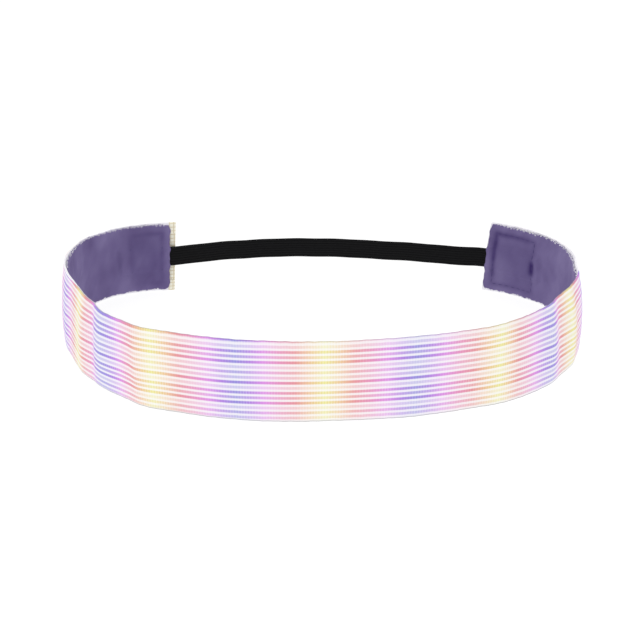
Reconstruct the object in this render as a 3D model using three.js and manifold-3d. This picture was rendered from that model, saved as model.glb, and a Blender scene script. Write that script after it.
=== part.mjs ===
// Sports headband: a printed fabric band with a velvet lining, closed at the back by a braided elastic strap.
// Units are millimetres and +Z is up. It stands on its lower edge at z = 0, with the forehead side towards -Y.
// Every piece is a layer that follows one closed loop, the line of the printed face seen from above.
// "along" is the distance round that loop, "depth" the distance inwards from the face, "height" the way up.
import * as THREE from "three";
import { mergeVertices } from "three/addons/utils/BufferGeometryUtils.js";
import Module from "manifold-3d";

// Driving dimensions.
const BAND_HEIGHT = 34;
const FACE_THICKNESS = 0.5; // printed polyester, one layer
const HEM_WIDTH = 5.5; // face fabric turned in along both long edges
const END_HEM_LENGTH = 9; // face fabric turned in at both ends
const LINING_THICKNESS = 0.9;
const LINING_INSET = 1.3; // the face shows this far above and below the lining
const LEFT_SETBACK = 2.4; // the face shows this far past the lining's left end
const RIGHT_SETBACK = 0.5;
const ELASTIC_WIDTH = 9.5;
const ELASTIC_THICKNESS = 0.9;
const ELASTIC_TAIL = 25; // sewn between face and lining at each end
const LAYER_GAP = 0.3;
const HEM_SLOPE = 0.2; // a hem's raw edge tapers over this distance
const BULGE_SLOPE = 2; // the lining rises over the elastic tail in this distance
const THREAD_WIDTH = 0.7;
const THREAD_THICKNESS = 0.35;
const EDGE_STITCH_WIDTH = 0.8;
const BOX_INSET = 3; // from the lining's end and long edges to the box of stitches
const LEFT_BOX_LENGTH = 15.5;
const RIGHT_BOX_LENGTH = 19.5;
const BAR_TACK_LENGTH = 2;
const SIDE_LEAN = 3.7; // the sides lean this far in at the top edge, and the front stands upright
const BACK_LEAN = 1.2;
const STEP = 5; // distance between cross-sections along the loop

// The loop seen from above: from the band's left end, round the forehead to its right end.
const BAND_POINTS = [
  [-67.5, 47.5],
  [-81, 45.5],
  [-95, 40],
  [-105, 29.5],
  [-109.5, 16],
  [-110.5, 2],
  [-107, -9.5],
  [-97, -27.5],
  [-85, -45],
  [-71, -55.5],
  [-52, -62.5],
  [-29, -67.5],
  [0, -69],
  [29, -66],
  [52, -61],
  [70, -54.5],
  [87.5, -41.5],
  [101.5, -22.5],
  [108.5, -9.5],
  [110.5, 3],
  [108.5, 16],
  [103, 28],
  [91, 39.5],
  [77.5, 46.5],
];
// The elastic closes the loop behind the head.
const ELASTIC_POINTS = [
  [62, 49.5],
  [30, 55.5],
  [-8, 59],
  [-40, 56],
];
const loopPoints = [...BAND_POINTS, ...ELASTIC_POINTS].map(([x, y]) => new THREE.Vector3(x, y, 0));
const loop = new THREE.CatmullRomCurve3(loopPoints, true, "centripetal");
loop.arcLengthDivisions = 2000;
const LOOP_LENGTH = loop.getLength();
const BAND_LENGTH = loopLengthTo(BAND_POINTS.length - 1);

// The layers, as depths from the printed face.
const HEM_DEPTH = 2 * FACE_THICKNESS;
const ELASTIC_DEPTH = HEM_DEPTH + LAYER_GAP;
const LINING_DEPTH = HEM_DEPTH + LAYER_GAP;
const LINING_BULGE = ELASTIC_THICKNESS + LAYER_GAP;

const ELASTIC_LOW = (BAND_HEIGHT - ELASTIC_WIDTH) / 2;
const ELASTIC_HIGH = ELASTIC_LOW + ELASTIC_WIDTH;
const LINING_LOW = LINING_INSET;
const LINING_HIGH = BAND_HEIGHT - LINING_INSET;
const LINING_START = LEFT_SETBACK;
const LINING_END = BAND_LENGTH - RIGHT_SETBACK;

// The distance round the loop to one of its points.
function loopLengthTo(index) {
  const lengths = loop.getLengths();
  return lengths[Math.round((index / loopPoints.length) * loop.arcLengthDivisions)];
}

// How far the wall has leaned in at a height, where the loop heads along a tangent.
function lean(tangent, height) {
  const fullLean = THREE.MathUtils.lerp(SIDE_LEAN, tangent.x > 0 ? 0 : BACK_LEAN, tangent.x ** 2);
  return fullLean * (height / BAND_HEIGHT) ** 2;
}

function placeOnLoop(along, depth, height) {
  const u = THREE.MathUtils.euclideanModulo(along / LOOP_LENGTH, 1);
  const point = loop.getPointAt(u);
  const tangent = loop.getTangentAt(u);
  const inwards = depth + lean(tangent, height);
  return [point.x - tangent.y * inwards, point.y + tangent.x * inwards, height];
}

// The lining rises over the elastic's tails between these places along the loop and these heights.
const bulgeEnds = [ELASTIC_TAIL + LAYER_GAP, BAND_LENGTH - ELASTIC_TAIL - LAYER_GAP];
const bulgeFeet = [bulgeEnds[0] + BULGE_SLOPE, bulgeEnds[1] - BULGE_SLOPE];
const bulgeHeights = [
  ELASTIC_LOW - LAYER_GAP - BULGE_SLOPE,
  ELASTIC_LOW - LAYER_GAP,
  ELASTIC_HIGH + LAYER_GAP,
  ELASTIC_HIGH + LAYER_GAP + BULGE_SLOPE,
];

// All the layers have their cross-sections at the same places, so they stay parallel where the loop curves.
const endHems = [END_HEM_LENGTH, BAND_LENGTH - END_HEM_LENGTH];
const hemFeet = [endHems[0] + HEM_SLOPE, endHems[1] - HEM_SLOPE];
const sharedStations = [...endHems, ...hemFeet, ...bulgeEnds, ...bulgeFeet];
const featureCount = sharedStations.length;
for (let along = 0; along < LOOP_LENGTH; along += STEP) {
  const isClear = (feature) => Math.abs(feature - along) > STEP / 4;
  if (sharedStations.slice(0, featureCount).every(isClear)) sharedStations.push(along);
}
sharedStations.sort((a, b) => a - b);

function stations(from, to) {
  const nextTurn = sharedStations.map((along) => along + LOOP_LENGTH);
  const between = [...sharedStations, ...nextTurn].filter((along) => along > from && along < to);
  return [from, ...between, to];
}

// A closed layer between two depths, each a function of the place along the loop and the height.
function layer(alongs, heights, outerDepth, innerDepth) {
  const rows = heights.length;
  const sheetSize = alongs.length * rows;
  const positions = [];
  for (const depth of [outerDepth, innerDepth]) {
    for (const along of alongs) {
      for (const height of heights) positions.push(...placeOnLoop(along, depth(along, height), height));
    }
  }
  const faces = [];
  const quad = (a, b, c, d) => faces.push(a, b, c, a, c, d);
  const corner = (i, j) => i * rows + j;
  for (let i = 0; i + 1 < alongs.length; i++) {
    for (let j = 0; j + 1 < rows; j++) {
      const [a, b, c, d] = [corner(i, j), corner(i + 1, j), corner(i + 1, j + 1), corner(i, j + 1)];
      quad(a, b, c, d);
      quad(d + sheetSize, c + sheetSize, b + sheetSize, a + sheetSize);
    }
  }
  // The rim runs round the sheet, so it closes the four sides between its two faces.
  const last = alongs.length - 1;
  const top = rows - 1;
  const rim = [];
  for (let i = 0; i < last; i++) rim.push(corner(i, 0));
  for (let j = 0; j < top; j++) rim.push(corner(last, j));
  for (let i = last; i > 0; i--) rim.push(corner(i, top));
  for (let j = top; j > 0; j--) rim.push(corner(0, j));
  rim.forEach((from, index) => {
    const to = rim[(index + 1) % rim.length];
    quad(from, from + sheetSize, to + sheetSize, to);
  });
  const geometry = new THREE.BufferGeometry();
  geometry.setAttribute("position", new THREE.Float32BufferAttribute(positions, 3));
  geometry.setIndex(faces);
  return geometry;
}

const wasm = await Module();
wasm.setup();

// Joins closed geometries into one.
function join(...geometries) {
  const solids = geometries.map((geometry) => {
    const merged = mergeVertices(geometry, 1e-4);
    const vertProperties = merged.attributes.position.array;
    const triVerts = new Uint32Array(merged.index.array);
    return new wasm.Manifold(new wasm.Mesh({ numProp: 3, vertProperties, triVerts }));
  });
  const mesh = solids.reduce((whole, solid) => whole.add(solid)).getMesh();
  const joined = new THREE.BufferGeometry();
  joined.setAttribute("position", new THREE.BufferAttribute(mesh.vertProperties, 3));
  joined.setIndex(new THREE.BufferAttribute(mesh.triVerts, 1));
  return joined;
}

const materials = {
  printedFabric: new THREE.MeshStandardMaterial({ color: 0xf2d6e6, roughness: 0.75, metalness: 0 }),
  velvet: new THREE.MeshStandardMaterial({ color: 0x675a88, roughness: 0.9, metalness: 0 }),
  elastic: new THREE.MeshStandardMaterial({ color: 0x0d0d0f, roughness: 0.7, metalness: 0 }),
  whiteThread: new THREE.MeshStandardMaterial({ color: 0xeeecf2, roughness: 0.6, metalness: 0 }),
  purpleThread: new THREE.MeshStandardMaterial({ color: 0x4a3d70, roughness: 0.6, metalness: 0 }),
};

const headband = new THREE.Group();

function addPiece(name, geometry, material) {
  const mesh = new THREE.Mesh(geometry, material);
  mesh.name = name;
  headband.add(mesh);
}

// The printed face, doubled where it is turned in along its long edges and at its ends.
function printedFace() {
  const [lowHem, highHem] = [HEM_WIDTH, BAND_HEIGHT - HEM_WIDTH];
  const heights = [0, lowHem, lowHem + HEM_SLOPE, highHem - HEM_SLOPE, highHem, BAND_HEIGHT];
  function innerDepth(along, height) {
    const inLongHem = height <= lowHem || height >= highHem;
    const inEndHem = along <= endHems[0] || along >= endHems[1];
    return inLongHem || inEndHem ? HEM_DEPTH : FACE_THICKNESS;
  }
  return layer(stations(0, BAND_LENGTH), heights, () => 0, innerDepth);
}

// 0 before the first place, 1 after the second, and a straight ramp between them.
function ramp(value, first, second) {
  return THREE.MathUtils.clamp((value - first) / (second - first), 0, 1);
}

function liningOuterDepth(along, height) {
  const overTail = Math.max(ramp(along, bulgeFeet[0], bulgeEnds[0]), ramp(along, bulgeFeet[1], bulgeEnds[1]));
  const rise = ramp(height, bulgeHeights[0], bulgeHeights[1]);
  const fall = ramp(height, bulgeHeights[3], bulgeHeights[2]);
  return LINING_DEPTH + LINING_BULGE * overTail * Math.min(rise, fall);
}

function liningInnerDepth(along, height) {
  return liningOuterDepth(along, height) + LINING_THICKNESS;
}

function velvetLining() {
  const heights = [LINING_LOW, ...bulgeHeights, LINING_HIGH];
  return layer(stations(LINING_START, LINING_END), heights, liningOuterDepth, liningInnerDepth);
}

// The elastic runs in one piece from its tail in the band's right end to its tail in the left end.
function elasticStrap() {
  const alongs = stations(BAND_LENGTH - ELASTIC_TAIL, LOOP_LENGTH + ELASTIC_TAIL);
  const innerDepth = ELASTIC_DEPTH + ELASTIC_THICKNESS;
  return layer(alongs, [ELASTIC_LOW, ELASTIC_HIGH], () => ELASTIC_DEPTH, () => innerDepth);
}

// The thread that sews the lining's long edges to the hems lies on the hem, beside the lining.
function edgeStitching(height) {
  const innerDepth = LINING_DEPTH + THREAD_THICKNESS;
  const alongs = stations(LINING_START, LINING_END);
  return layer(alongs, [height, height + EDGE_STITCH_WIDTH], () => LINING_DEPTH, () => innerDepth);
}

// A patch of thread on the lining's inner side.
function threadPatch(from, to, low, high) {
  const heights = [low, ...bulgeHeights.filter((height) => height > low && height < high), high];
  const outerDepth = (along, height) => liningInnerDepth(along, height) + LAYER_GAP;
  const innerDepth = (along, height) => outerDepth(along, height) + THREAD_THICKNESS;
  return layer(stations(from, to), heights, outerDepth, innerDepth);
}

// A box of stitches goes through all the layers round each tail.
function boxStitch(from, to) {
  const low = LINING_LOW + BOX_INSET;
  const high = LINING_HIGH - BOX_INSET;
  return join(
    threadPatch(from, to, low, low + THREAD_WIDTH),
    threadPatch(from, to, high - THREAD_WIDTH, high),
    threadPatch(from, from + THREAD_WIDTH, low, high),
    threadPatch(to - THREAD_WIDTH, to, low, high),
  );
}

// A dense bar of stitches across each tail holds the elastic.
function barTack(from) {
  return threadPatch(from, from + BAR_TACK_LENGTH, ELASTIC_LOW, ELASTIC_HIGH);
}

const bottomStitchLow = LINING_LOW - LAYER_GAP - EDGE_STITCH_WIDTH;
const leftBox = [LINING_START + BOX_INSET, LINING_START + BOX_INSET + LEFT_BOX_LENGTH];
const rightBox = [LINING_END - BOX_INSET - RIGHT_BOX_LENGTH, LINING_END - BOX_INSET];
const barTackInset = THREAD_WIDTH + 2 * LAYER_GAP; // from the box's side away from the band's end

addPiece("printed_face", printedFace(), materials.printedFabric);
addPiece("velvet_lining", velvetLining(), materials.velvet);
addPiece("elastic_strap", elasticStrap(), materials.elastic);
addPiece("top_edge_stitching", edgeStitching(LINING_HIGH + LAYER_GAP), materials.whiteThread);
addPiece("bottom_edge_stitching", edgeStitching(bottomStitchLow), materials.whiteThread);
addPiece("left_box_stitch", boxStitch(...leftBox), materials.purpleThread);
addPiece("right_box_stitch", boxStitch(...rightBox), materials.purpleThread);
addPiece("left_bar_tack", barTack(leftBox[1] - barTackInset - BAR_TACK_LENGTH), materials.purpleThread);
addPiece("right_bar_tack", barTack(rightBox[0] + barTackInset), materials.purpleThread);

// The origin is the centre of the footprint, on the surface that the band stands on.
const footprint = new THREE.Box3().setFromObject(headband).getCenter(new THREE.Vector3());
headband.position.set(-footprint.x, -footprint.y, 0);

export default headband;
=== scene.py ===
import functools
import math

import bmesh
import bpy
import numpy as np
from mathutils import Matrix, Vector


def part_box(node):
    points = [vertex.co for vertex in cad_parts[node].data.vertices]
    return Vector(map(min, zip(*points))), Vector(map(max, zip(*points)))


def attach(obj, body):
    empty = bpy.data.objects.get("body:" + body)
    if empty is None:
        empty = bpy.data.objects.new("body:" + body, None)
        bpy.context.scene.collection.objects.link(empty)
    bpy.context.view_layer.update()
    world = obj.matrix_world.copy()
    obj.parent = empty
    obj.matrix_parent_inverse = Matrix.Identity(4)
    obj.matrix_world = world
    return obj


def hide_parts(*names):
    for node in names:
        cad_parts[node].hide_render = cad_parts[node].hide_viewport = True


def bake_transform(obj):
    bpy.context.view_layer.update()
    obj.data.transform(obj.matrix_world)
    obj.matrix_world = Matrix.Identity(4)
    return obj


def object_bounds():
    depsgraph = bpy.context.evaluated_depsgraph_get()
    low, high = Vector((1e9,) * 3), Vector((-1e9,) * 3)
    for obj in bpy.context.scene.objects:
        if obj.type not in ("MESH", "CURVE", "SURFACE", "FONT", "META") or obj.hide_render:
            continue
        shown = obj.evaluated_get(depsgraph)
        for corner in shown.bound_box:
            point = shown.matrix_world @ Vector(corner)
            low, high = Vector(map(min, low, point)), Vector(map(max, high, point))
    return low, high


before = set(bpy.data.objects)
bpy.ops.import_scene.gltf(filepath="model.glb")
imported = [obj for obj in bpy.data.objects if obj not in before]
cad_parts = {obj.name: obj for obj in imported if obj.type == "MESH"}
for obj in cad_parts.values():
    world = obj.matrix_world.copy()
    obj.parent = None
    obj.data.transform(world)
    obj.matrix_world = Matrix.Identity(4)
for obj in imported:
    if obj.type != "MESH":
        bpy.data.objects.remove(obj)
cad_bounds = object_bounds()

MM = 0.001
CLOTH_UNIT = 100  # one unit of the "cloth" UV map, in millimetres
SHARP_ANGLE = math.radians(60)  # edges are smooth up to this angle

# The camera stands off a point a little behind the band's middle. It tilts down a bit further than to
# that point, so the band lies above the picture's middle.
CAMERA_DISTANCE = 460
CAMERA_ELEVATION = math.radians(26)
CAMERA_TILT = math.radians(1.13)
CAMERA_SIDESTEP = 0.4
CAMERA_LENS = 60.8
TARGET_BEHIND = 5.7

# Printed fabric: one layer, folded in at its ends and then along its long edges.
FABRIC = 0.28
END_FOLD_RADIUS = 0.31
EDGE_FOLD_RADIUS = 0.42
CORNER_FOLD_RADIUS = 0.64
EDGE_HEM = 5.5
END_HEM = 9.0
FACE_STEP = 0.8
THREAD_PITCH = 0.4

# How far the band's ends are cut askew, and over what length that fades.
LEFT_SKEW = 1.2
LEFT_SKEW_FADE = 22
RIGHT_SKEW = 2.2
RIGHT_SKEW_FADE = 16

# Where the upper edge rolls and shows the cloth's white back, and how much of the face's height that
# covers: at the creases, and behind them. A stretch along the band is given as the places where it
# starts, is full, starts to fade and is gone.
LEFT_ROLL = (62, 72, 84, 110)
RIGHT_ROLL = (346, 354, 370, 378)
HEM_ROLL = 0.034
BACK_ROLL = 0.013
# The back starts to show this far before the right end, and shows fully from there.
RIGHT_BORDER = (1.0, 0.7)

# How wide the turned-in left end shows, the pitch of its check along the band, and how many rows of
# the check the face's height holds.
TAB_WIDTH = 3
TAB_CHECK_PITCH = 1.9
TAB_CHECK_ROWS = 19.0

# The print: rows of stripes, and colours that run to and fro along the band.
STRIPE_ROWS = 16.06  # how many rows the face's height holds
STRIPE_PLACE = 0.15  # the first stripe's middle, in rows from the top
ROW_STRENGTHS = [0.95, 0.4, 0.82, 0.7, 0.93, 0.4, 0.66, 0.5]  # row by row, over and over
STRIPE_INK = 0.97
TINT_INK = 0.17  # a faint tint between the stripes
WHITE_LINE_PITCH = 1.05
# The stretches where the first stripe is faint, and where the folded edges get a thin grey line of painted
# shade.
FAINT_FIRST_STRIPE = (145, 170, 300, 310)
EDGE_SHADE_SPAN = (70, 90, 335, 350)
# How many times the colours have repeated on the way from the front, from place to place along the band.
PRINT_RUN = [
    (0, -4.0),
    (58, -2.95),
    (72, -2.75),
    (82, -2.62),
    (85, -2.47),
    (90, -2.36),
    (96, -2.2),
    (102.5, -2.04),
    (107, -1.94),
    (111.5, -1.81),
    (115.5, -1.75),
    (120.3, -1.58),
    (122.5, -1.52),
    (128, -1.48),
    (133, -1.4),
    (141.5, -1.19),
    (151.5, -1.0),
    (217.5, 0.0),
    (285.5, 1.0),
    (291.5, 1.12),
    (308.5, 1.44),
    (313.5, 1.5),
    (316.5, 1.62),
    (322, 1.84),
    (330, 2.0),
    (333, 2.06),
    (336, 2.18),
    (346, 2.4),
    (360, 2.75),
    (419.5, 4.0),
]

# How many rows the stripes run upwards, from place to place along the band.
PRINT_DRIFT = [
    (0, 0),
    (90, -0.15),
    (134, -0.18),
    (178, -0.15),
    (197, 0),
    (244, 0.17),
    (287, 0.1),
    (340, 0.1),
    (419.5, 0),
]

# How deep the wall's folds and waves lie halfway up, from place to place along the band, and the share
# of that at its edges.
EDGE_WAVES = 0.35
WALL_WAVES = [
    (0, 0),
    (60, 0),
    (75, -0.4),
    (85, -0.35),
    (92, 0.5),
    (97, 0.1),
    (103, -0.6),
    (108.5, -1.4),
    (113, -0.6),
    (117.3, 0.3),
    (120.3, -0.6),
    (124.5, -1.2),
    (129, -0.6),
    (136, 0.2),
    (140, -0.1),
    (145.5, -1.4),
    (150, -1.1),
    (157, -0.5),
    (175, -0.4),
    (200, 0),
    (302, 0),
    (308, -0.5),
    (314.2, -1.5),
    (317, -1.0),
    (320.5, -0.1),
    (326, -0.9),
    (332.5, -2.0),
    (338, -1.1),
    (350, -0.6),
    (365, 0),
    (419.5, 0),
]

# How far the wall's lower and upper edges flare out, as depths, from place to place along the band.
LOWER_FLARE = [
    (0, 0),
    (75, 0),
    (92, -0.9),
    (106, -1.4),
    (118, -0.4),
    (126, 0.5),
    (134, 0.6),
    (141, 0.2),
    (150, -0.3),
    (163, -0.2),
    (195, -0.15),
    (222, 0.6),
    (250, -0.2),
    (272, 0.15),
    (300, -1.3),
    (330, -2.0),
    (343, -0.6),
    (352, 0),
    (419.5, 0),
]
UPPER_FLARE = [
    (0, -0.8),
    (10, -0.6),
    (25, 0.4),
    (33, 0.4),
    (42, -0.9),
    (48, -1.6),
    (60, -1.7),
    (66, -1.3),
    (74, -0.4),
    (82, 0),
    (345, 0),
    (357, 0.5),
    (367, -1.1),
    (375, -1.9),
    (386, -1.6),
    (398, -1.9),
    (419.5, -2.4),
]

# Velvet lining. Its pile spreads a little past the edge that it was cut to.
LINING_THICKNESS = 0.9
LINING_DEPTH = 1.3
LINING_CORNER = 1.7
LINING_STEP = 0.5
LOWER_SPREAD = 0.2
UPPER_SPREAD = 0.85
NAP_ROUNDING = 0.9
NAP_WAVES = 0.6
THIN_EDGE = 0.03  # the sheet's share of its thickness at its very edge
MIDDLE_SINK = 0.4  # how much closer to the face it lies between the end hems
MIDDLE_SINK_SPAN = (27, 38)  # where it sinks, as distances from its ends
# How far it rises over the elastic's tails, how long they are, and in what distance it comes down again.
TAIL_RISE = 1.0
TAIL_LENGTH = 25
TAIL_SLOPE = 3
GROOVE_DEPTH = 0.5
GROOVE_WIDTH = 1.3
TACK_WIDTH = 1.5
# How low the lining's upper edge sits, from place to place along the band.
UPPER_HEM = [
    (0, 0.3),
    (14, 0.1),
    (28, -0.3),
    (52, -0.3),
    (61, 0.5),
    (70, 1.7),
    (78, 2.2),
    (94, 2.0),
    (108, 1.3),
    (125, 1.4),
    (325, 1.4),
    (345, 1.6),
    (360, 1.9),
    (372, 1.2),
    (380, 0.1),
    (392, -0.1),
    (404, 0.4),
    (419.5, 0),
]

# Braided elastic.
ELASTIC_RIBS = 8
ELASTIC_THICKNESS = 0.9
ELASTIC_STEP = 0.8
ELASTIC_LIFT = 0.8  # how much higher its left end sits
BRAID_PITCH = 0.9

# Threads.
THREAD_SIDES = 6
OVERLOCK_PITCH = 1.6
OVERLOCK_RADIUS = 0.12
OVERLOCK_START = 0.4  # how far past the lining's edge a stitch starts
STITCH_PITCH = 2.75
STITCH_SPAN = (0.08, 0.92)  # the part of its pitch that a stitch takes up
STITCH_RADIUS = 0.16
STITCH_STEPS = 6
TACK_TURNS = 16
# How deep stitches sink into the pile, in thread radii.
LEFT_BOX_SINK = 2.3
RIGHT_BOX_SINK = 1.7
TACK_SINK = 2.6


def make_camera():
    """The camera sees the band from the front and above."""
    middle = (cad_bounds[0] + cad_bounds[1]) / 2 / MM
    back = CAMERA_DISTANCE * math.cos(CAMERA_ELEVATION)
    up = CAMERA_DISTANCE * math.sin(CAMERA_ELEVATION)
    place = middle + Vector((CAMERA_SIDESTEP, TARGET_BEHIND - back, up))
    data = bpy.data.cameras.new("camera")
    data.lens = CAMERA_LENS
    camera = bpy.data.objects.new("camera", data)
    camera.location = place * MM
    camera.rotation_euler = (math.pi / 2 - CAMERA_ELEVATION - CAMERA_TILT, 0, 0)
    bpy.context.scene.collection.objects.link(camera)
    bpy.context.scene.camera = camera


# Lines and layers.


def cubic(knots, values, tangents, places):
    """The cubic curve with these values and tangents at the knots, read at the places."""
    gaps = np.diff(knots).reshape((-1,) + (1,) * (values.ndim - 1))
    places = np.clip(places, knots[0], knots[-1])
    i = np.clip(np.searchsorted(knots, places, side="right") - 1, 0, len(knots) - 2)
    gap = gaps[i]
    t = ((places - knots[i]) / np.diff(knots)[i]).reshape(gap.shape)
    start = (1 + 2 * t) * (1 - t) ** 2 * values[i] + t * (1 - t) ** 2 * gap * tangents[i]
    end = t * t * (3 - 2 * t) * values[i + 1] - t * t * (1 - t) * gap * tangents[i + 1]
    return start + end


def smooth(knots, values, places):
    """A round curve through the values at the knots, read at the places."""
    gaps = np.diff(knots)[:, None]
    slopes = np.diff(values, axis=0) / gaps
    tangents = np.concatenate([slopes[:1], slopes])
    tangents[1:-1] = (gaps[1:] * slopes[:-1] + gaps[:-1] * slopes[1:]) / (gaps[1:] + gaps[:-1])
    return cubic(knots, values, tangents, places)


def read_places(pairs, along):
    """A curve through pairs of place and value, which never swings past them, read at places."""
    knots, values = np.array(pairs, float).T
    slopes = np.diff(values) / np.diff(knots)
    product = slopes[:-1] * slopes[1:]
    total = slopes[:-1] + slopes[1:]
    tangents = np.zeros(len(knots))
    tangents[1:-1] = np.where(product > 0, 2 * product / np.where(product > 0, total, 1), 0)
    return cubic(knots, values, tangents, along.ravel()).reshape(along.shape)


def outer_rows(node, first_angle):
    """The lowest and highest row of points on a CAD layer's outer side, in order round the loop."""
    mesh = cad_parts[node].data
    half = (cad_bounds[1] - cad_bounds[0]) / 2
    outer = set()
    for face in mesh.polygons:
        outwards = Vector((face.center.x / half.x**2, face.center.y / half.y**2, 0)).normalized()
        if face.normal.dot(outwards) > 0.6:
            outer.update(face.vertices)
    points = np.array([mesh.vertices[i].co for i in sorted(outer)]) / MM
    angles = (np.arctan2(points[:, 0], -points[:, 1]) - first_angle) % (2 * math.pi)
    points = points[np.argsort(angles)]
    rows = []
    for level in (points[:, 2].min(), points[:, 2].max()):
        row = points[np.abs(points[:, 2] - level) < 0.01, :2]
        apart = np.linalg.norm(np.diff(row, axis=0), axis=1) > 0.01
        rows.append(row[np.concatenate([[True], apart])])
    return rows


class Loop:
    """A CAD layer's outer side as a smooth line seen from above, with how far its top edge leans in."""

    STEP = 0.25

    def __init__(self, node, first_angle, lean_power):
        low, high = outer_rows(node, first_angle)
        gaps = np.linalg.norm(np.diff(low, axis=0), axis=1)
        knots = np.concatenate([[0], np.cumsum(gaps)])
        self.places = np.append(np.arange(0, knots[-1], self.STEP), knots[-1])
        self.line = smooth(knots, low, self.places)
        self.lean = smooth(knots, high - low, self.places)
        self.tangents = np.gradient(self.line, self.places, axis=0)
        self.tangents /= np.linalg.norm(self.tangents, axis=1)[:, None]
        self.length = knots[-1]
        self.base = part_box(node)[0].z / MM
        self.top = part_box(node)[1].z / MM
        self.lean_power = lean_power

    def read(self, table, along):
        """The table's two columns at places along the line."""
        return np.stack([np.interp(along, self.places, table[:, i]) for i in range(2)], axis=-1)

    def inwards(self, along):
        """The direction into the loop, as points with no height."""
        tangent = self.read(self.tangents, along)
        return np.stack([-tangent[..., 1], tangent[..., 0], np.zeros_like(along)], axis=-1)

    def place(self, along, height, depth):
        """Points at places along the line. Past either end the line goes straight on."""
        inside = np.clip(along, 0, self.length)
        tangent = self.read(self.tangents, inside)
        share = ((height - self.base) / (self.top - self.base)) ** self.lean_power
        flat = self.read(self.line, inside) + self.read(self.lean, inside) * share[..., None]
        flat += tangent * (along - inside)[..., None]
        flat += self.inwards(inside)[..., :2] * depth[..., None]
        return np.concatenate([flat, height[..., None]], axis=-1)

    def nearest(self, points):
        """How far along the line each point lies."""
        apart = np.linalg.norm(points[:, None, :2] - self.line[None], axis=2)
        return self.places[np.argmin(apart, axis=1)]

    @functools.cache
    def extent(self, node):
        """A CAD node's first and last place along the line, and its lowest and highest height."""
        points = np.array([v.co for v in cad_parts[node].data.vertices]) / MM
        along = self.nearest(points)
        return along.min(), along.max(), points[:, 2].min(), points[:, 2].max()


def ease(value, first, last):
    """0 before the first value, 1 past the last, and smooth between them."""
    t = np.clip((value - first) / (last - first), 0, 1)
    return t * t * (3 - 2 * t)


def stretch(value, start, full, fading, gone):
    """1 along a stretch, with a smooth rise before it and a smooth fall after it."""
    return ease(value, start, full) * (1 - ease(value, fading, gone))


def rounded(share):
    """A quarter circle, from 0 at share 0 to 1 at share 1."""
    return np.sqrt(1 - (1 - np.clip(share, 0, 1)) ** 2)


def waver(places, seed, wavelengths):
    """An irregular wave between -1 and 1, the same on every run."""
    waves = [
        np.sin(2 * math.pi * places / length + 2.4 * seed + 1.7 * i)
        for i, length in enumerate(wavelengths)
    ]
    return sum(waves) / len(waves)


def band_place(along, height, depth):
    """Points on the band's wall, with its folds, and with its ends cut a little askew."""
    up = height / wall.top
    waves = read_places(WALL_WAVES, along)
    waves = waves * (EDGE_WAVES + (1 - EDGE_WAVES) * np.sin(math.pi * np.clip(up, 0, 1)))
    waves += read_places(LOWER_FLARE, along) * np.clip(1 - up, 0, 1) ** 1.5
    waves += read_places(UPPER_FLARE, along) * ease(up, 0.6, 1.05)
    left_skew = -LEFT_SKEW * (2 * up - 1) * (1 - ease(along, 0, LEFT_SKEW_FADE))
    near_right = ease(along, wall.length - RIGHT_SKEW_FADE, wall.length)
    right_skew = RIGHT_SKEW * np.sqrt(np.clip(1 - up, 0, 1)) * near_right
    return wall.place(along + left_skew + right_skew, height, depth + waves)


def fold(distance, depth, radius):
    """Turns cloth with a distance below 0 over to the inside: its distance from the fold, and its depth."""
    angle = np.clip(-distance / radius, 0, math.pi)
    flat = np.where(distance > 0, distance, np.maximum(-distance - math.pi * radius, 0))
    arm = radius - depth
    return radius + flat - arm * np.sin(angle), radius - arm * np.cos(angle)


def sheet_faces(columns, rows):
    """Faces of a sheet's outer and inner grids, and of the rim that closes them."""
    corner = np.arange(columns * rows).reshape(columns, rows)
    quads = np.stack([corner[:-1, :-1], corner[1:, :-1], corner[1:, 1:], corner[:-1, 1:]], axis=-1)
    quads = quads.reshape(-1, 4)
    inner = columns * rows
    rim = np.concatenate([corner[:-1, 0], corner[-1, :-1], corner[:0:-1, -1], corner[0, :0:-1]])
    following = np.roll(rim, -1)
    edge = np.stack([rim, rim + inner, following + inner, following], axis=-1)
    return np.concatenate([quads, quads[:, ::-1] + inner, edge]).tolist()


def cloth_uv(along, height):
    """The "cloth" UV map of both sides of a sheet, from places in millimetres."""
    side = np.stack([along, height], axis=-1) / CLOTH_UNIT
    return np.concatenate([side, side])


def make_piece(name, points, faces, material, uvs=None, values=None):
    """A mesh object from points in millimetres, with its UV maps and its values at points."""
    mesh = bpy.data.meshes.new(name)
    mesh.from_pydata((np.asarray(points).reshape(-1, 3) * MM).tolist(), [], faces)
    owners = np.array([loop.vertex_index for loop in mesh.loops])
    for uv_name, table in (uvs or {}).items():
        layer = mesh.uv_layers.new(name=uv_name)
        layer.data.foreach_set("uv", table.reshape(-1, 2)[owners].astype(np.float32).ravel())
    for value_name, table in (values or {}).items():
        attribute = mesh.attributes.new(value_name, "FLOAT", "POINT")
        attribute.data.foreach_set("value", table.astype(np.float32).ravel())
    work = bmesh.new()
    work.from_mesh(mesh)
    bmesh.ops.recalc_face_normals(work, faces=work.faces)
    work.to_mesh(mesh)
    work.free()
    mesh.shade_smooth()
    mesh.set_sharp_from_angle(angle=SHARP_ANGLE)
    mesh.materials.append(material)
    piece = bpy.data.objects.new(name, mesh)
    bpy.context.scene.collection.objects.link(piece)
    return piece


# Materials.


def colour(red, green, blue):
    """A shader colour from a screen colour of 0 to 255."""
    shares = (red / 255, green / 255, blue / 255)
    return (*(c / 12.92 if c < 0.04 else ((c + 0.055) / 1.055) ** 2.4 for c in shares), 1)


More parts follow.
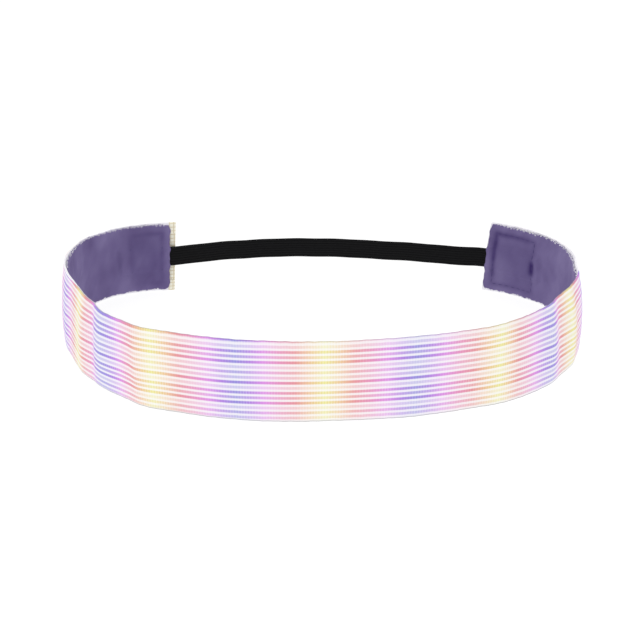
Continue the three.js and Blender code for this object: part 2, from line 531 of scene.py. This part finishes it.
class Shader:
    """A node material as it is built. Most methods add nodes and return their output."""

    def __init__(self, name):
        self.material = bpy.data.materials.new(name)
        self.material.use_nodes = True
        self.tree = self.material.node_tree
        self.surface = self.tree.nodes["Principled BSDF"]

    def put(self, socket, value):
        """Links an output to a socket, or sets the socket to a plain value."""
        if isinstance(value, bpy.types.NodeSocket):
            self.tree.links.new(value, socket)
        else:
            socket.default_value = value

    def add(self, kind, *inputs, **settings):
        """A node with its first inputs and its settings filled in."""
        node = self.tree.nodes.new(kind)
        for key, value in settings.items():
            setattr(node, key, value)
        for socket, value in zip(node.inputs, inputs):
            self.put(socket, value)
        return node

    def math(self, operation, *inputs):
        return self.add("ShaderNodeMath", *inputs, operation=operation).outputs[0]

    def uv(self, name):
        """A UV map's two numbers."""
        node = self.add("ShaderNodeSeparateXYZ", self.add("ShaderNodeUVMap", uv_map=name).outputs[0])
        return node.outputs[0], node.outputs[1]

    def cloth(self):
        """The place on the cloth in millimetres: how far along, and how high."""
        along, up = self.uv("cloth")
        return self.math("MULTIPLY", along, CLOTH_UNIT), self.math("MULTIPLY", up, CLOTH_UNIT)

    def value(self, name):
        """A value kept at the mesh's points."""
        return self.add("ShaderNodeAttribute", attribute_name=name).outputs["Fac"]

    def vector(self, x, y):
        return self.add("ShaderNodeCombineXYZ", x, y, 0.0).outputs[0]

    def noise(self, vector, scale, detail=2.0, roughness=0.5):
        node = self.add("ShaderNodeTexNoise")
        self.put(node.inputs["Vector"], vector)
        self.put(node.inputs["Scale"], scale)
        self.put(node.inputs["Detail"], detail)
        self.put(node.inputs["Roughness"], roughness)
        return node.outputs[0]

    def ease(self, value, first, last, low=0.0, high=1.0):
        """A smooth step from low to high as the value goes from first to last."""
        node = self.add("ShaderNodeMapRange", value, first, last, low, high)
        node.interpolation_type = "SMOOTHSTEP"
        return node.outputs[0]

    def stretch(self, value, start, full, fading, gone):
        """1 along a stretch, with a smooth rise before it and a smooth fall after it."""
        return self.math("MULTIPLY", self.ease(value, start, full), self.ease(value, gone, fading))

    def wave(self, value, pitch):
        """A sine wave that repeats each pitch."""
        return self.math("SINE", self.math("MULTIPLY", value, 2 * math.pi / pitch))

    def off_middle(self, value):
        """How far a value is from the middle between two whole numbers, from 0 to 0.5."""
        return self.math("ABSOLUTE", self.math("SUBTRACT", self.math("FRACT", value), 0.5))

    def ramp(self, value, stops, interpolation="LINEAR"):
        """A colour ramp through pairs of place and colour."""
        node = self.add("ShaderNodeValToRGB", value)
        ramp = node.color_ramp
        ramp.interpolation = interpolation
        while len(ramp.elements) < len(stops):
            ramp.elements.new(1)
        for element, (place, stop) in zip(ramp.elements, stops):
            element.position = place
            element.color = stop
        return node.outputs[0]

    def mix(self, share, first, second):
        """One colour going over to another."""
        node = self.add("ShaderNodeMix", data_type="RGBA")
        self.put(node.inputs["Factor"], share)
        self.put(node.inputs[6], first)
        self.put(node.inputs[7], second)
        return node.outputs[2]

    def bump(self, height, strength, distance):
        """Fine relief on the surface, with its distance in millimetres."""
        node = self.add("ShaderNodeBump")
        self.put(node.inputs["Strength"], strength)
        self.put(node.inputs["Distance"], distance * MM)
        self.put(node.inputs["Height"], height)
        self.put(self.surface.inputs["Normal"], node.outputs[0])

    def finish(self, base, roughness, sheen=0.0, sheen_tint=(1, 1, 1, 1), specular=0.3):
        """Sets the surface's main inputs and returns the material."""
        self.put(self.surface.inputs["Base Color"], base)
        self.put(self.surface.inputs["Roughness"], roughness)
        self.put(self.surface.inputs["Sheen Weight"], sheen)
        self.put(self.surface.inputs["Sheen Tint"], sheen_tint)
        self.put(self.surface.inputs["Sheen Roughness"], 0.4)
        self.put(self.surface.inputs["Specular IOR Level"], specular)
        return self.material


def end_tab(s, along, level):
    """The fine check that shows on the turned-in end."""
    rows = s.math("MULTIPLY", level, TAB_CHECK_ROWS)
    columns = s.math("DIVIDE", along, TAB_CHECK_PITCH)
    lines = [s.ease(s.off_middle(place), 0.05, 0.16, 0.6, 0.0) for place in (rows, columns)]
    return s.mix(s.math("MAXIMUM", *lines), colour(254, 251, 232), colour(206, 186, 128))


def stripe_colour(s, swing):
    """The stripes' colour, from yellow at 0 to blue at 1."""
    stops = [
        (0.0, colour(239, 234, 150)),
        (0.15, colour(239, 203, 150)),
        (0.33, colour(232, 149, 155)),
        (0.5, colour(231, 147, 190)),
        (0.68, colour(224, 146, 230)),
        (0.85, colour(178, 134, 228)),
        (1.0, colour(150, 144, 224)),
    ]
    return s.ramp(swing, stops)


def first_stripe_share(s, along, rows_down):
    """1 but for the lower part of the first stripe, which is faint along the front."""
    above = s.ease(rows_down, 0.3, 0.15, 0.35, 1.0)
    below = s.ease(rows_down, 0.64, 0.66)
    at_sides = s.math("SUBTRACT", 1.0, s.stretch(along, *FAINT_FIRST_STRIPE))
    return s.math("MAXIMUM", s.math("MAXIMUM", above, below), at_sides)


def stripe_ink(s, along, rows_down):
    """How much of the stripes' colour lies on the cloth: rows of differing strength on a faint tint."""
    place = s.math("ADD", rows_down, 0.5 - STRIPE_PLACE)
    cycle = len(ROW_STRENGTHS)
    row = s.math("FLOORED_MODULO", s.math("FLOOR", place), cycle)
    stops = [(i / cycle, (v, v, v, 1)) for i, v in enumerate(ROW_STRENGTHS)]
    strength = s.ramp(s.math("DIVIDE", s.math("ADD", row, 0.5), cycle), stops, "CONSTANT")
    ink = s.math("MULTIPLY", s.ease(s.off_middle(place), 0.18, 0.36, 1.0, 0.0), strength)
    last_row = s.ease(rows_down, 15.7, 15.6)
    ink = s.math("MULTIPLY", s.math("MULTIPLY", ink, last_row), first_stripe_share(s, along, rows_down))
    return s.math("ADD", s.math("MULTIPLY", ink, STRIPE_INK), TINT_INK)


def back_share(s, along, level):
    """Where the cloth's back shows: past the folds, where the upper edge rolls, and at the right end."""
    rolls = s.math("ADD", s.stretch(along, *LEFT_ROLL), s.stretch(along, *RIGHT_ROLL))
    rolled = s.math("MULTIPLY", rolls, HEM_ROLL)
    rolled = s.math("ADD", rolled, s.ease(along, LEFT_ROLL[1], LEFT_ROLL[0], 0.0, BACK_ROLL))
    rolled = s.math("ADD", rolled, s.ease(along, RIGHT_ROLL[2], RIGHT_ROLL[3], 0.0, BACK_ROLL))
    past_top = s.ease(s.math("ADD", level, rolled), 1.004, 1.014)
    past_bottom = s.ease(level, -0.002, -0.012)
    past_end = s.ease(along, wall.length - RIGHT_BORDER[0], wall.length - RIGHT_BORDER[1])
    return s.math("ADD", s.math("ADD", past_top, past_bottom), past_end)


def painted_edge_shade(s, along, level):
    """A thin grey line of painted shade on the front's folded edges."""
    upper = s.ease(level, 0.987, 0.997, 0.0, 0.45)
    lower = s.ease(level, 0.027, 0.019, 0.0, 0.6)
    return s.math("MULTIPLY", s.math("ADD", upper, lower), s.stretch(along, *EDGE_SHADE_SPAN))


def print_material():
    """Rows of stripes on white cloth, whose colour runs from yellow to blue and back along the band."""
    s = Shader("printed_polyester")
    repeats, rows_down = s.uv("print")
    along, up = s.cloth()
    level = s.value("level")
    swing = s.math("MULTIPLY", s.math("PINGPONG", repeats, 0.5), 2.0)
    # Fine upright white lines cross the stripes, in patches.
    patchy = s.noise(s.vector(along, 0.0), 0.12)
    white_line = s.ease(s.off_middle(s.math("DIVIDE", along, WHITE_LINE_PITCH)), 0.12, 0.3, 1.0, 0.0)
    line_strength = s.ease(swing, 0.08, 0.35, 0.34, 0.2)
    line_strength = s.math("MULTIPLY", line_strength, s.ease(patchy, 0.35, 0.65, 0.6, 1.0))
    uncrossed = s.math("SUBTRACT", 1.0, s.math("MULTIPLY", white_line, line_strength))
    ink = s.math("MULTIPLY", stripe_ink(s, along, rows_down), uncrossed)
    base = s.mix(ink, colour(254, 254, 254), stripe_colour(s, swing))
    # Painted shade: the folded edges are darkened to grey along the front.
    base = s.mix(painted_edge_shade(s, along, level), base, colour(138, 140, 146))
    back = back_share(s, along, level)
    base = s.mix(s.math("MINIMUM", back, 1.0), base, colour(248, 246, 251))
    on_tab = s.math("MULTIPLY", back, s.ease(along, TAB_WIDTH + 0.1, TAB_WIDTH - 0.1))
    on_tab = s.math("MAXIMUM", on_tab, s.ease(along, 0.0, -0.3))
    base = s.mix(on_tab, base, end_tab(s, along, level))
    weave = s.math("MULTIPLY", s.wave(along, THREAD_PITCH), s.wave(up, THREAD_PITCH))
    s.bump(s.math("ADD", weave, s.math("MULTIPLY", white_line, 0.6)), 0.25, 0.04)
    roughness = s.ease(patchy, 0.3, 0.7, 0.62, 0.74)
    return s.finish(base, roughness, sheen=0.08, specular=0.2)


def velvet_material():
    """Short purple pile, brushed in patches, with painted shade in the grooves and dimples along the
    stitches.
    """
    s = Shader("purple_velvet")
    along, up = s.cloth()
    brushed = s.noise(s.vector(along, s.math("MULTIPLY", up, 0.7)), 0.065)
    pile = s.noise(s.vector(along, up), 2.6, 3.0, 0.7)
    shade = s.math("ADD", s.math("MULTIPLY", brushed, 0.8), s.math("MULTIPLY", pile, 0.2))
    stops = [
        (0.3, colour(100, 87, 131)),
        (0.5, colour(117, 105, 149)),
        (0.7, colour(134, 123, 165)),
    ]
    # Painted shade: the pile turns this dark purple in the stitch grooves and the tack dimples.
    base = s.mix(s.value("pressed_and_shaded"), s.ramp(shade, stops), colour(60, 44, 100))
    s.bump(pile, 0.5, 0.12)
    roughness = s.ease(pile, 0.3, 0.7, 0.82, 0.98)
    return s.finish(base, roughness, sheen=0.25, sheen_tint=colour(190, 180, 215), specular=0.1)


def elastic_material():
    """Black braid with crossing threads; its ribs' crests are painted lighter as a highlight."""
    s = Shader("black_braid")
    along, up = s.cloth()
    one_way = s.wave(s.math("ADD", along, up), BRAID_PITCH)
    other_way = s.wave(s.math("SUBTRACT", along, up), BRAID_PITCH)
    braid = s.math("MULTIPLY", one_way, other_way)
    worn = s.noise(s.vector(along, s.math("MULTIPLY", up, 8.0)), 0.6)
    shade = s.math("ADD", s.math("MULTIPLY", braid, 0.2), s.math("MULTIPLY", worn, 0.5))
    # Painted highlight: the ribs' crests are lighter, their grooves near black.
    shade = s.math("ADD", shade, s.math("MULTIPLY", s.value("rib_and_highlight"), 0.4))
    base = s.ramp(shade, [(0.3, colour(1, 1, 2)), (0.7, colour(23, 23, 24))])
    s.bump(braid, 0.6, 0.05)
    roughness = s.ease(worn, 0.3, 0.7, 0.5, 0.7)
    return s.finish(base, roughness, specular=0.08)


def thread_material(name, dark, light):
    """Twisted sewing thread."""
    s = Shader(name)
    turns, around = s.uv("thread")
    ply = s.wave(s.math("ADD", turns, around), 1)
    base = s.ramp(s.ease(ply, -1.0, 1.0), [(0.0, dark), (1.0, light)])
    s.bump(ply, 0.5, 0.03)
    roughness = s.ease(ply, -1.0, 1.0, 0.6, 0.45)
    return s.finish(base, roughness, sheen=0.1)


# The printed face.


def spread(first, last, count):
    """The ends of this many equal steps."""
    return np.linspace(first, last, count + 1)


def folded_places(half, radius, hem, flat_count):
    """Places across a folded sheet from one hem's raw edge to the other's, measured flat from its middle."""
    start = half - radius
    arc = math.pi * radius
    past_fold = spread(start + arc, start + arc + hem - radius, 4)[1:]
    in_fold = spread(start, start + arc, 8)[1:]
    side = np.concatenate([in_fold, past_fold])
    return np.concatenate([-side[::-1], spread(-start, start, flat_count), side])


def folded_side(from_middle, from_midline, cloth_depth):
    """Points on one side of the printed cloth, for places measured flat from the middle of the sheet."""
    half_length = wall.length / 2
    half_height = wall.top / 2
    to_end = half_length - np.abs(from_middle)
    past_hem = ease(to_end, END_HEM, END_HEM + 4)
    radius = CORNER_FOLD_RADIUS + (EDGE_FOLD_RADIUS - CORNER_FOLD_RADIUS) * past_hem
    depth = np.full_like(from_middle, cloth_depth)
    from_end, depth = fold(to_end - END_FOLD_RADIUS, depth, END_FOLD_RADIUS)
    from_edge, depth = fold(half_height - radius - np.abs(from_midline), depth, radius)
    along = half_length + np.sign(from_middle) * (half_length - from_end)
    upwards = np.sign(from_midline)
    reach = half_height - from_edge
    edge_waver = 0.12 * waver(along, upwards, (7.3, 4.1, 19.0))
    reach += edge_waver * np.clip(reach / half_height, 0, 1) ** 4
    height = half_height + upwards * reach
    return band_place(along, np.maximum(height, 0), depth)


def printed_face(material):
    """One piece of printed cloth, turned in at both ends and then along both long edges."""
    half_length = wall.length / 2
    half_height = wall.top / 2
    flat_length = wall.length - 2 * END_FOLD_RADIUS
    q = folded_places(half_length, END_FOLD_RADIUS, END_HEM, round(flat_length / FACE_STEP))
    p = folded_places(half_height, EDGE_FOLD_RADIUS, EDGE_HEM, 24)
    q_grid, p_grid = np.meshgrid(q, p, indexing="ij")
    sides = [folded_side(q_grid, p_grid, cloth_depth) for cloth_depth in (0, FABRIC)]
    # The print's two numbers are colour repeats along the band and rows of stripes down it.
    # The level is the height, with 0 and 1 at the folds' edges.
    edge_of_fold = half_height - EDGE_FOLD_RADIUS + math.pi / 2 * EDGE_FOLD_RADIUS
    repeats = np.interp(half_length + q_grid, *zip(*PRINT_RUN))
    level = 0.5 + 0.5 * p_grid / edge_of_fold
    rows_down = STRIPE_ROWS * (1 - level) + read_places(PRINT_DRIFT, half_length + q_grid)
    print_uv = np.stack([repeats, rows_down], axis=-1)
    uvs = {
        "print": np.concatenate([print_uv, print_uv]),
        "cloth": cloth_uv(half_length + q_grid, half_height + p_grid),
    }
    faces = sheet_faces(len(q), len(p))
    values = {"level": np.concatenate([level, level])}
    piece = make_piece("printed_band_fabric", np.stack(sides), faces, material, uvs, values)
    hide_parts("printed_face")
    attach(piece, "band")
    return piece


# The velvet lining.


def box_distance(along, height, box):
    """The distance to the outline of a box of stitches."""
    first, last, low, high = box
    outside = np.hypot(
        np.maximum(np.maximum(first - along, along - last), 0),
        np.maximum(np.maximum(low - height, height - high), 0),
    )
    inside = np.minimum(
        np.minimum(along - first, last - along),
        np.minimum(height - low, high - height),
    )
    return np.where(inside > 0, inside, outside)


@functools.cache
def stitch_boxes():
    """The middle line of each box of stitches, from the CAD box."""
    half_thread = 0.35
    boxes = []
    for node in ("left_box_stitch", "right_box_stitch"):
        first, last, low, high = wall.extent(node)
        boxes.append((first + half_thread, last - half_thread, low + half_thread, high - half_thread))
    return boxes


def pressed_share(along, height):
    """How far the stitches push the pile down: 0 where it stands up, and about 1 at most. It sets the depth
    of the grooves, and the painted shade in them.
    """
    pressed_and_shaded = np.zeros_like(along)
    for box, end, inner, firmness in (
        (left_box, left_box[0], left_box[1], 0.45),
        (right_box, right_box[1], right_box[0], 0.95),
    ):
        groove = np.exp(-((box_distance(along, height, box) / GROOVE_WIDTH) ** 2))
        near_end = 0.4 + 0.6 * np.clip((along - inner) / (end - inner), 0, 1)
        near_top = 0.45 + 0.55 * ease(height, box[2] - 1, box[2] + 12)
        uneven = 0.85 + 0.15 * waver(along + 2 * height, 3, (15.0, 23.1))
        pressed_and_shaded = np.maximum(pressed_and_shaded, firmness * near_end * near_top * uneven * groove)
    _, _, low, high = wall.extent("right_bar_tack")
    for side, firmness in ((left_box[1], 0.2), (right_box[0], 1.15)):
        past_end = np.maximum(np.abs(height - (low + high) / 2) - (high - low) / 8, 0)
        away = np.hypot((along - side) / TACK_WIDTH, past_end / 3.0)
        pressed_and_shaded = np.maximum(pressed_and_shaded, firmness * np.exp(-(away**2)))
    return pressed_and_shaded


def painted_shade_share(along, height):
    """How dark the pile is painted: painted shade in the grooves and dimples along the stitches, and a
    little darker over the elastic's tails.
    """
    darker_over_tails = 0.0
    for first, last, low, high in stitch_boxes():
        across = stretch(along, first - 2, first + 3, last - 3, last + 2)
        up = stretch(height, low - 6, low + 8, high - 8, high + 5)
        darker_over_tails = darker_over_tails + 0.3 * across * up
    return np.clip(0.85 * pressed_share(along, height) + darker_over_tails, 0, 1.1)


def lining_rise(along, height):
    """How much the lining lifts over the elastic's tails."""
    _, _, low, high = wall.extent("left_bar_tack")
    from_end = np.minimum(along, wall.length - along)
    over_tail = 1 - ease(from_end, TAIL_LENGTH, TAIL_LENGTH + TAIL_SLOPE)
    return TAIL_RISE * over_tail * stretch(height, low - 2.4, low - 0.3, high + 0.3, high + 2.4)


def lining_back(along, height):
    """The depth of the lining's back: close to the face, and a little off it over the thick end hems."""
    from_end = np.minimum(along, wall.length - along)
    return LINING_DEPTH - MIDDLE_SINK * ease(from_end, *MIDDLE_SINK_SPAN) + lining_rise(along, height)


def lining_surface(along, height):
    """The depth of the lining's pile side, away from its edges."""
    tufts = 0.12 * waver(along, 1, (9.0, 5.3, 17.0)) + 0.08 * waver(along + 0.6 * height, 4, (6.1, 3.7))
    depth = lining_back(along, height) + LINING_THICKNESS + tufts
    return depth - GROOVE_DEPTH * pressed_share(along, height)


def lining_limits(along):
    """The lining's lowest and highest height, with its nap edge and its rounded corners."""
    first, last, low, high = wall.extent("velvet_lining")
    from_end = np.clip(np.minimum(along - first, last - along), 0, LINING_CORNER)
    corner = LINING_CORNER - np.sqrt(LINING_CORNER**2 - (LINING_CORNER - from_end) ** 2)
    nap_low = NAP_WAVES * waver(along, 5, (6.7, 3.9, 11.3, 2.3, 1.3))
    nap_high = NAP_WAVES * waver(along, 8, (5.9, 3.3, 12.1, 2.1, 1.4))
    upper_hem = read_places(UPPER_HEM, along)
    return low - LOWER_SPREAD + corner + nap_low, high + UPPER_SPREAD - corner + nap_high - upper_hem


def lining_grid():
    """Places along the lining, their heights, and how far each is from the lining's edge."""
    first, last, cut_low, cut_high = wall.extent("velvet_lining")
    edge = np.array([0, 0.05, 0.15, 0.3, 0.55, 0.9, 1.5])
    edge_share = edge / (cut_high - cut_low)
    middle = np.arange(first + 2, last - 2, LINING_STEP)
    along = np.concatenate([first + edge, middle, last - edge[::-1]])
    share = np.concatenate([edge_share, spread(0.07, 0.93, 34), 1 - edge_share[::-1]])
    along, share = np.meshgrid(along, share, indexing="ij")
    low, high = lining_limits(along)
    height = low + (high - low) * share
    uneven_end = 0.35 * waver(height, 2, (4.3, 7.9))
    along = along + uneven_end * (1 - ease(along, first, first + 4))
    along = along - uneven_end * ease(along, last - 4, last)
    to_edge = np.minimum(height - low, high - height)
    return along, height, np.minimum(to_edge, np.minimum(along - first, last - along))


def velvet_lining(material):
    """A soft closed sheet whose pile rounds off at the edges."""
    along, height, to_edge = lining_grid()
    fullness = np.maximum(rounded(to_edge / NAP_ROUNDING), THIN_EDGE)
    back = lining_back(along, height)
    front = lining_surface(along, height)
    middle = back + 0.2 * (front - back)
    sides = [band_place(along, height, middle + (side - middle) * fullness) for side in (back, front)]
    # Painted shade along the stitches, kept at the points for the velvet's colour.
    pressed_and_shaded = painted_shade_share(along, height)
    piece = make_piece(
        "velvet_lining_fabric",
        np.stack(sides),
        sheet_faces(*along.shape),
        material,
        {"cloth": cloth_uv(along, height)},
        {"pressed_and_shaded": np.concatenate([pressed_and_shaded, pressed_and_shaded])},
    )
    first, last, low, high = wall.extent("velvet_lining")
    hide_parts("velvet_lining")
    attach(piece, "band")
    return piece


# The elastic.


def elastic_strap(material):
    """A flat braid with rounded lengthwise ribs on both sides."""
    strap = Loop("elastic_strap", 0, 1)
    along = np.append(np.arange(0, strap.length, ELASTIC_STEP), strap.length)
    along, share = np.meshgrid(along, spread(0, 1, ELASTIC_RIBS * 10), indexing="ij")
    width = strap.top - strap.base
    height = strap.base + width * share + 0.12 * waver(along, 6, (31.0, 17.0))
    height += ELASTIC_LIFT * ease(along, strap.length - 60, strap.length - 25)
    to_edge = np.minimum(share, 1 - share) * width
    half_thickness = ELASTIC_THICKNESS / 2
    fullness = np.maximum(rounded(to_edge / half_thickness), 0.05)
    # The ribs' shape, which the material also uses to paint their crests lighter as a highlight.
    rib_and_highlight = np.abs(np.sin(math.pi * ELASTIC_RIBS * share)) ** 0.6
    half = half_thickness * fullness * (0.78 + 0.22 * rib_and_highlight)
    middle = half_thickness + 0.1 * waver(along, 7, (47.0, 29.0))
    sides = [strap.place(along, height, depth) for depth in (middle - half, middle + half)]
    piece = make_piece(
        "braided_elastic",
        np.stack(sides),
        sheet_faces(*along.shape),
        material,
        {"cloth": cloth_uv(along, height)},
        {"rib_and_highlight": np.concatenate([rib_and_highlight, rib_and_highlight])},
    )
    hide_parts("elastic_strap")
    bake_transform(piece)
    return piece


# Threads.


def thread_rings(path, off, radius):
    """Rings of points round a run of thread, which tapers at both ends, and each point's place on it."""
    angles = 2 * math.pi * np.arange(THREAD_SIDES) / THREAD_SIDES
    tangent = np.gradient(path, axis=0)
    tangent /= np.linalg.norm(tangent, axis=1)[:, None]
    across = np.cross(tangent, off)
    across /= np.linalg.norm(across, axis=1)[:, None]
    up = np.cross(across, tangent)
    radii = np.full(len(path), radius)
    radii[[0, -1]] *= 0.35
    round_ring = across[:, None] * np.cos(angles)[:, None] + up[:, None] * np.sin(angles)[:, None]
    rings = path[:, None] + round_ring * radii[:, None, None]
    run = np.concatenate([[0], np.cumsum(np.linalg.norm(np.diff(path, axis=0), axis=1))])
    places = np.meshgrid(run / (4 * radius), np.arange(THREAD_SIDES) / THREAD_SIDES, indexing="ij")
    return rings.reshape(-1, 3), np.stack(places, axis=-1).reshape(-1, 2)


def ring_faces(start, ring_count):
    """Faces round a run of thread and over its two ends, from the index of its first point."""
    faces = []
    for ring in range(start, start + (ring_count - 1) * THREAD_SIDES, THREAD_SIDES):
        for side in range(THREAD_SIDES):
            a = ring + side
            b = ring + (side + 1) % THREAD_SIDES
            faces.append((a, b, b + THREAD_SIDES, a + THREAD_SIDES))
    for ring in (start, start + (ring_count - 1) * THREAD_SIDES):
        faces.append(tuple(range(ring, ring + THREAD_SIDES)))
    return faces


def thread_piece(name, runs, radius, material, node):
    """One piece of many stitches: each run is the thread's points and the directions off the cloth."""
    points, faces, places = [], [], []
    start = 0
    for path, off in runs:
        rings, ring_places = thread_rings(path, off, radius)
        points.append(rings)
        places.append(ring_places)
        faces.extend(ring_faces(start, len(path)))
        start += len(rings)
    uvs = {"thread": np.concatenate(places)}
    piece = make_piece(name, np.concatenate(points), faces, material, uvs)
    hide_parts(node)
    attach(piece, "band")
    return piece


def stitch(start, end, sink):
    """A stitch between two (along, height) places: it rises out of the cloth and dips in again."""
    t = spread(0, 1, STITCH_STEPS)
    along = start[0] + (end[0] - start[0]) * t
    height = start[1] + (end[1] - start[1]) * t
    hump = np.sin(math.pi * t) ** 0.5
    depth = lining_surface(along, height) + STITCH_RADIUS * (1.4 * hump - sink)
    return band_place(along, height, depth), wall.inwards(along)


def box_thread(name, box, sink, node, material):
    """Straight stitches round a box, sunk into the pile."""
    first, last, low, high = box
    corners = [(first, low), (last, low), (last, high), (first, high), (first, low)]
    runs = []
    for (a0, h0), (a1, h1) in zip(corners, corners[1:]):
        count = round(math.hypot(a1 - a0, h1 - h0) / STITCH_PITCH)
        for i in range(count):
            shares = [(i + part) / count for part in STITCH_SPAN]
            start, end = [(a0 + (a1 - a0) * t, h0 + (h1 - h0) * t) for t in shares]
            runs.append(stitch(start, end, sink))
    return thread_piece(name, runs, STITCH_RADIUS, material, node)


def bar_tack_thread(name, node, material):
    """A dense zigzag across the elastic."""
    first, last, low, high = wall.extent(node)
    heights = spread(low, high, 2 * TACK_TURNS)
    runs = []
    for i in range(0, 2 * TACK_TURNS, 2):
        runs.append(stitch((first, heights[i]), (last, heights[i + 1]), TACK_SINK))
        runs.append(stitch((last, heights[i + 1]), (first, heights[i + 2]), TACK_SINK))
    return thread_piece(name, runs, STITCH_RADIUS, material, node)


def overlock_depth(along, height, from_edge, t):
    """How deep an overlock stitch lies: up off the hem, over the lining's edge and into its pile."""
    on_hem = 2 * EDGE_FOLD_RADIUS
    back = lining_back(along, height)
    fullness = 0.2 + 0.8 * rounded(-from_edge / NAP_ROUNDING)
    on_lining = back + (lining_surface(along, height) - back) * fullness
    surface = on_hem + (on_lining - on_hem) * ease(-from_edge, -OVERLOCK_START, 0)
    return surface + OVERLOCK_RADIUS * (1.5 * np.sin(math.pi * t) ** 0.5 - 0.6)


def overlock_thread(name, is_top, node, material):
    """Slanting stitches that bind the lining's edge to the hem."""
    first, last, _, _ = wall.extent("velvet_lining")
    t = np.array([0, 0.2, 0.45, 0.7, 0.88, 1.0])
    runs = []
    count = int((last - first - 2 * LINING_CORNER) / OVERLOCK_PITCH)
    for i in range(count):
        for half in (0, 1):
            a0 = first + LINING_CORNER + (i + 0.5 * half) * OVERLOCK_PITCH
            a1 = a0 + 0.5 * OVERLOCK_PITCH
            along = a0 + (a1 - a0) * t if half == 0 else a1 - (a1 - a0) * t
            low, high = lining_limits(along)
            edge = high if is_top else low
            outwards = 1 if is_top else -1
            reach = 0.75 + 0.45 * waver(a0, 9 + is_top, (13.0, 5.9, 3.1))
            from_edge = OVERLOCK_START - reach * t
            height = edge + outwards * from_edge
            depth = overlock_depth(along, height, from_edge, t)
            runs.append((band_place(along, height, depth), wall.inwards(along)))
    return thread_piece(name, runs, OVERLOCK_RADIUS, material, node)


# The studio.


def make_floor():
    """A plain pale floor."""
    half = 15000
    points = np.array([(-half, -half, 0), (half, -half, 0), (half, half, 0), (-half, half, 0)], float)
    s = Shader("studio_floor")
    s.put(s.surface.inputs["Emission Color"], (1, 1, 1, 1))
    s.put(s.surface.inputs["Emission Strength"], 0.88)
    s.finish((0.2, 0.2, 0.2, 1), 0.9, specular=0.0)
    floor = make_piece("studio_floor", points, [(0, 1, 2, 3)], s.material)
    floor.location.z = -0.05 * MM


def make_light():
    """A white surround and two wide soft lights, one over the front and one above."""
    world = bpy.data.worlds.new("studio")
    world.use_nodes = True
    background = world.node_tree.nodes["Background"]
    background.inputs["Color"].default_value = (1, 1, 1, 1)
    background.inputs["Strength"].default_value = 0.83
    bpy.context.scene.world = world
    for name, place, size, power in (
        ("key_light", (-500, -700, 900), 900, 1.5),
        ("top_light", (200, 200, 1000), 900, 1.5),
    ):
        data = bpy.data.lights.new(name, "AREA")
        data.size = size * MM
        data.energy = power
        light = bpy.data.objects.new(name, data)
        light.location = Vector(place) * MM
        light.rotation_euler = (-Vector(place)).to_track_quat("-Z", "Y").to_euler()
        bpy.context.scene.collection.objects.link(light)
    bpy.context.scene.view_settings.view_transform = "Standard"


make_camera()
wall = Loop("printed_face", -math.pi, 2)
left_box, right_box = stitch_boxes()
white_thread = thread_material("white_thread", colour(236, 233, 243), colour(254, 253, 255))
purple_thread = thread_material("purple_thread", colour(58, 46, 98), colour(76, 62, 120))
printed_face(print_material())
velvet_lining(velvet_material())
elastic_strap(elastic_material())
overlock_thread("top_overlock_thread", True, "top_edge_stitching", white_thread)
overlock_thread("bottom_overlock_thread", False, "bottom_edge_stitching", white_thread)
box_thread("left_box_thread", left_box, LEFT_BOX_SINK, "left_box_stitch", purple_thread)
box_thread("right_box_thread", right_box, RIGHT_BOX_SINK, "right_box_stitch", purple_thread)
bar_tack_thread("left_bar_tack_thread", "left_bar_tack", purple_thread)
bar_tack_thread("right_bar_tack_thread", "right_bar_tack", purple_thread)
make_floor()
make_light()
